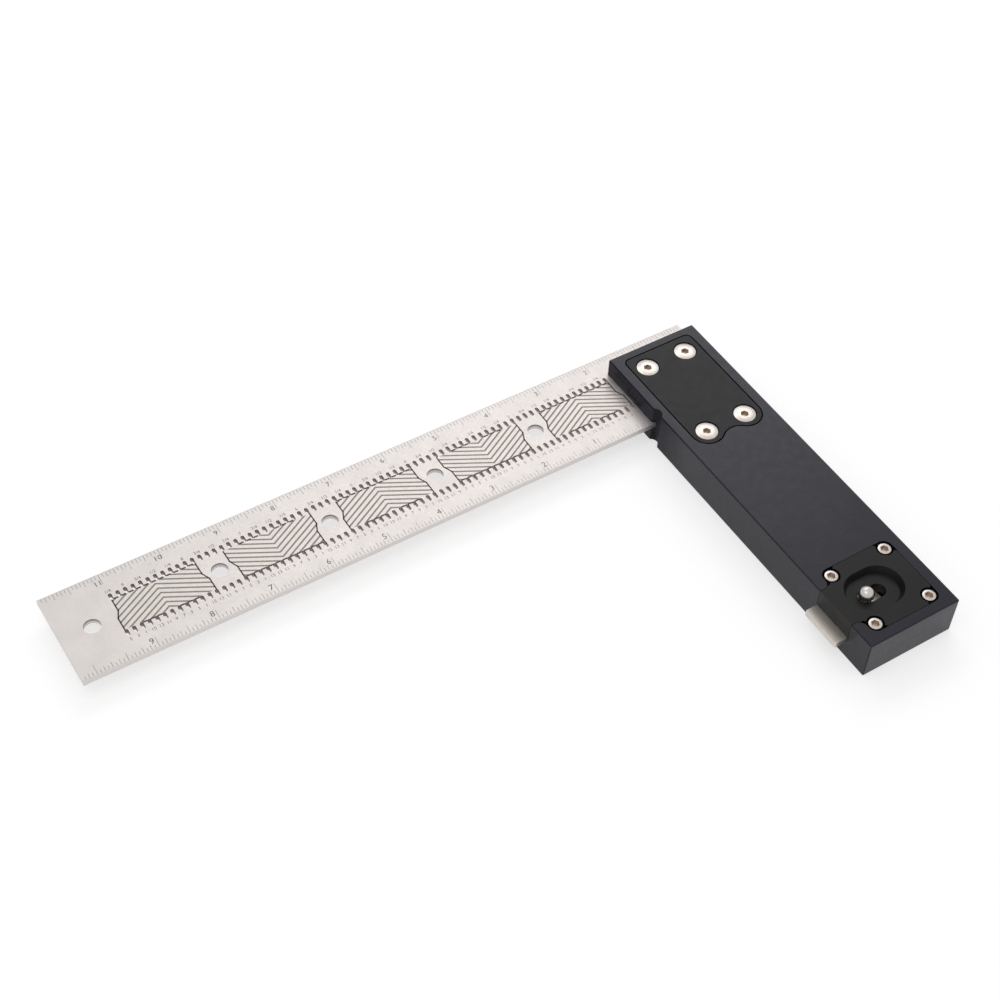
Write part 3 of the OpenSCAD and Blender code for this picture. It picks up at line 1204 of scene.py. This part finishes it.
@dataclass
class LipSlide:
    """The housing with its screws, and the lip that slides in it."""

    screws: int = 4
    brakes: int = 2

    def dress(self) -> None:
        """Dresses the housing, the lip, the stud, the ball and the brakes."""
        block = Anodised("housing_anodised", (0.004, 0.004, 0.005), (0.007, 0.007, 0.008),
                         roughness=0.38, sheen=0.22)
        dress("lip_housing", block.make())
        for index in range(self.screws):
            Screw(f"housing_screw_{index + 1}", head_height=3.0 * MM, shank=1.5 * MM,
                  thread_pitch=0.5 * MM).dress()
        lip = PolishedSteel("lip_steel", (0.66, 0.61, 0.56), (0.61, 0.56, 0.51), roughness=0.38)
        dress("support_lip", lip.make())
        stud = PolishedSteel("stud_steel", roughness=0.2)
        put(to_object(merged_copy("lip_stud"), "stud_turned", smooth_angle=30), Body.LIP,
            stud.make(), ("lip_stud",))
        ball = PolishedSteel("ball_steel", (0.55, 0.52, 0.49), (0.50, 0.47, 0.44),
                             roughness=0.27, stretch=(1, 1, 1))
        put(self.ball(), Body.LIP, ball.make(), ("lip_ball",))
        for index in range(self.brakes):
            dress(f"brake_pad_{index + 1}", PadPlastic().make())
            wire = PolishedSteel(f"spring_wire_{index + 1}", roughness=0.3)
            dress(f"brake_spring_{index + 1}", wire.make())

    def ball(self) -> Piece:
        """Builds the ball, cut flat where it sits on its stud.

        Returns:
            The ball, as an object.
        """
        low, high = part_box("lip_ball")
        radius = (high.x - low.x) / 2
        centre = top_centre(low, high)
        centre.z = high.z - radius
        shape = bmesh.new()
        bmesh.ops.create_uvsphere(shape, u_segments=64, v_segments=40, radius=radius)
        put_in_order(shape)
        clip(shape, Vector((0, 0, low.z - centre.z)), Vector((0, 0, -1)))
        bmesh.ops.translate(shape, vec=centre, verts=shape.verts)
        return to_object(shape, "push_ball", smooth_angle=40)


# Studio


@dataclass(frozen=True)
class PhotoCamera:
    """The photograph's viewpoint, worked out from the rule's own inch scale."""

    azimuth: float = 33.873
    elevation: float = 49.355
    roll: float = 2.568
    distance: float = 744.96 * MM
    aim: Point = (-100.26 * MM, 51.90 * MM, 9.5 * MM)
    lens: float = 65.479
    sensor: float = 36.0
    clips: Span = (0.01, 50.0)

    def place(self) -> None:
        """Makes the scene's camera."""
        data = bpy.data.cameras.new("camera")
        data.sensor_width = self.sensor
        data.lens = self.lens
        data.clip_start, data.clip_end = self.clips
        camera = bpy.data.objects.new("camera", data)
        bpy.context.scene.collection.objects.link(camera)
        turn = (Matrix.Rotation(-math.radians(self.azimuth), 4, "Z")
                @ Matrix.Rotation(math.radians(90 - self.elevation), 4, "X")
                @ Matrix.Rotation(math.radians(self.roll), 4, "Z"))
        back = Matrix.Translation((0, 0, self.distance))
        camera.matrix_world = Matrix.Translation(Vector(self.aim)) @ turn @ back
        bpy.context.scene.camera = camera


@dataclass(frozen=True)
class Softbox:
    """A square lamp that faces a point."""

    name: str
    place: Point
    aim: Point
    size: float
    power: float

    def hang(self) -> None:
        """Adds the lamp."""
        data = bpy.data.lights.new(self.name, "AREA")
        data.shape = "SQUARE"
        data.size = self.size
        data.energy = self.power
        lamp = bpy.data.objects.new(self.name, data)
        bpy.context.scene.collection.objects.link(lamp)
        direction = Vector(self.aim) - Vector(self.place)
        lamp.matrix_world = (Matrix.Translation(Vector(self.place))
                             @ direction.to_track_quat("-Z", "Y").to_matrix().to_4x4())


def looked_at(tree: bpy.types.NodeTree) -> Socket:
    """Gives 1 on rays that come from the camera, a reflection or glass, and 0 on others.

    Args:
        tree: the node tree that takes the nodes.

    Returns:
        The socket with the number.
    """
    path = tree.nodes.new("ShaderNodeLightPath")
    total = path.outputs["Is Camera Ray"]
    for name in ("Is Glossy Ray", "Is Transmission Ray"):
        node = tree.nodes.new("ShaderNodeMath")
        node.operation = "MAXIMUM"
        tree.links.new(total, node.inputs[0])
        tree.links.new(path.outputs[name], node.inputs[1])
        total = node.outputs[0]
    return total


def part_views(tree: bpy.types.NodeTree, lit: Socket, seen: Socket, target: Socket) -> None:
    """Lets a surface or a world look other than it lights.

    Args:
        tree: the node tree that takes the nodes.
        lit: the shader that lights the object.
        seen: the shader that is looked at.
        target: the socket that takes the result.
    """
    choice = tree.nodes.new("ShaderNodeMixShader")
    for source, socket in zip((looked_at(tree), lit, seen), choice.inputs):
        tree.links.new(source, socket)
    tree.links.new(choice.outputs[0], target)


@dataclass(frozen=True)
class Table:
    """A white table that fades into the backdrop and keeps the object's shadow."""

    reach: float = 6.0
    bounce: float = 0.8
    shade_share: float = 0.60
    glow: float = 0.58
    far_glow: float = 0.72
    far_span: Span = (0.5, 1.5)

    def lay(self, height: float) -> None:
        """Lays the table.

        Args:
            height: the height of its top.
        """
        shape = bmesh.new()
        bmesh.ops.create_grid(shape, x_segments=1, y_segments=1, size=self.reach,
                              matrix=Matrix.Translation((0, 0, height)))
        table = to_object(shape, "table")
        table.data.materials.append(self.material())

    def material(self) -> Material:
        """Builds the table's white, lifted to the backdrop's where it is seen.

        Returns:
            The material.
        """
        w = Wiring("table_white")
        w.set(Base_Color=(self.bounce,) * 3, Roughness=0.9, Specular_IOR_Level=0.0)
        dim = w.add("ShaderNodeBsdfDiffuse")
        dim.inputs["Color"].default_value = (*(self.shade_share,) * 3, 1.0)
        lift = w.add("ShaderNodeEmission")
        strength = w.spread(w.length(w.place), self.glow, self.far_glow, self.far_span)
        w.link(strength, lift.inputs["Strength"])
        seen = w.add("ShaderNodeAddShader")
        w.link(dim.outputs[0], seen.inputs[0])
        w.link(lift.outputs[0], seen.inputs[1])
        target = w.tree.nodes["Material Output"].inputs["Surface"]
        part_views(w.tree, w.shader.outputs[0], seen.outputs[0], target)
        return w.material


@dataclass(frozen=True)
class Studio:
    """The table, the backdrop, the lamps and the camera."""

    sky: float = 0.55
    lamps: tuple[Softbox, ...] = (
        Softbox("key_softbox", (0.50, 0.62, 0.75), (0.0, 0.05, 0.01), size=0.40, power=1.0),
        Softbox("rule_softbox", (0.06, 0.60, 0.75), (-0.15, 0.06, 0.01), size=0.30, power=0.60),
        Softbox("top_softbox", (-0.5, -0.1, 1.4), (-0.1, 0.0, 0.0), size=0.8, power=2.2))

    def backdrop(self) -> None:
        """Makes a white backdrop that lights the object at a plain level."""
        world = bpy.data.worlds.new("backdrop")
        bpy.context.scene.world = world
        world.use_nodes = True
        tree = world.node_tree
        lit, seen = tree.nodes["Background"], tree.nodes.new("ShaderNodeBackground")
        for node, strength in ((lit, self.sky), (seen, 1.0)):
            node.inputs["Color"].default_value = (1, 1, 1, 1)
            node.inputs["Strength"].default_value = strength
        target = tree.nodes["World Output"].inputs["Surface"]
        part_views(tree, lit.outputs[0], seen.outputs[0], target)

    def build(self, floor: float) -> None:
        """Builds the whole studio.

        Args:
            floor: the height of the table's top.
        """
        Table().lay(floor)
        self.backdrop()
        for lamp in self.lamps:
            lamp.hang()
        PhotoCamera().place()
        bpy.context.scene.view_settings.view_transform = "Standard"
        LOG.info("studio ready on a floor at %.4f m", floor)


def main() -> None:
    """Builds every sub-assembly and the studio."""
    logging.basicConfig(level=logging.INFO, format="%(name)s: %(message)s")
    for part in (Rule(), Stock(), LipSlide()):
        part.dress()
    Studio().build(CAD_BOX[0][2])


if __name__ == "__main__":
    main()
